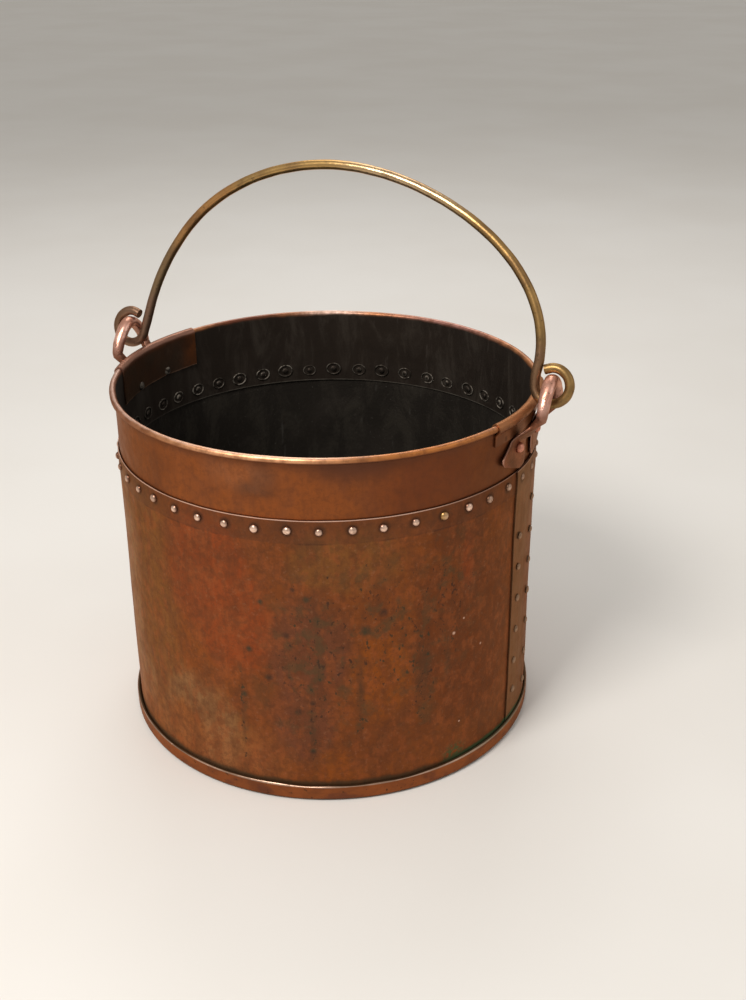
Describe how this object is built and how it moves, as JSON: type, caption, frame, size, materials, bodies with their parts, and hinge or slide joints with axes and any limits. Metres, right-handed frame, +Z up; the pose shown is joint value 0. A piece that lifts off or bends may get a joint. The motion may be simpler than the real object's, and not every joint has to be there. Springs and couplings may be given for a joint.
{
  "type": "coal bucket",
  "caption": "Round riveted copper coal bucket with a rolled rim, a turned-up base and a swing bail handle hooked through two forged ears.",
  "frame": {"origin": "middle of the underside of the base", "axes": "+Z up along the bucket's axis; the two ears and the bail's hinge axis lie along X, the seam is at +X"},
  "size_m": [0.429, 0.3658, 0.4781],
  "materials": {
    "copper_base": "aged copper",
    "copper_body": "aged copper with a brown patina",
    "copper_collar": "aged copper, soot-dark inside",
    "copper_patch": "aged copper",
    "copper_forged": "forged copper, rubbed bright",
    "copper_rivet": "copper rivet heads, rubbed bright",
    "iron_wire": "plain iron wire",
    "brass_rod": "aged brass rod"
  },
  "bodies": {
    "bucket": {"base_pan": "copper_base", "body_shell": "copper_body", "collar": "copper_collar", "rim_wire": "iron_wire", "rim_patch_left": "copper_patch", "rim_patch_right": "copper_patch", "ear_left": "copper_forged", "ear_right": "copper_forged", "collar_rivet_01": "copper_rivet", "collar_rivet_02": "copper_rivet", "collar_rivet_03": "copper_rivet", "collar_rivet_04": "copper_rivet", "collar_rivet_05": "copper_rivet", "collar_rivet_06": "copper_rivet", "collar_rivet_07": "copper_rivet", "collar_rivet_08": "copper_rivet", "collar_rivet_09": "copper_rivet", "collar_rivet_10": "copper_rivet", "collar_rivet_11": "copper_rivet", "collar_rivet_12": "copper_rivet", "collar_rivet_13": "copper_rivet", "collar_rivet_14": "copper_rivet", "collar_rivet_15": "copper_rivet", "collar_rivet_16": "copper_rivet", "collar_rivet_17": "copper_rivet", "collar_rivet_18": "copper_rivet", "collar_rivet_19": "copper_rivet", "collar_rivet_20": "copper_rivet", "collar_rivet_21": "copper_rivet", "collar_rivet_22": "copper_rivet", "collar_rivet_23": "copper_rivet", "collar_rivet_24": "copper_rivet", "collar_rivet_25": "copper_rivet", "collar_rivet_26": "copper_rivet", "collar_rivet_27": "copper_rivet", "collar_rivet_28": "copper_rivet", "collar_rivet_29": "copper_rivet", "collar_rivet_30": "copper_rivet", "collar_rivet_31": "copper_rivet", "collar_rivet_32": "copper_rivet", "collar_rivet_33": "copper_rivet", "collar_rivet_34": "copper_rivet", "collar_rivet_35": "copper_rivet", "collar_rivet_36": "copper_rivet", "collar_rivet_37": "copper_rivet", "collar_rivet_38": "copper_rivet", "collar_rivet_39": "copper_rivet", "collar_rivet_40": "copper_rivet", "collar_rivet_41": "copper_rivet", "collar_rivet_42": "copper_rivet", "collar_rivet_43": "copper_rivet", "collar_rivet_44": "copper_rivet", "collar_rivet_45": "copper_rivet", "collar_rivet_46": "copper_rivet", "ear_rivet_left_back": "copper_rivet", "ear_rivet_left_front": "copper_rivet", "ear_rivet_right_back": "copper_rivet", "ear_rivet_right_front": "copper_rivet"},
    "bail": {"bail_handle": "brass_rod"}
  },
  "joints": [
    {"name": "bail_swing", "type": "hinge", "parent": "bucket", "child": "bail", "pos_m": [0, 0, 0.311], "axis": [1, 0, 0], "range_deg": [-60, 90]}
  ]
}
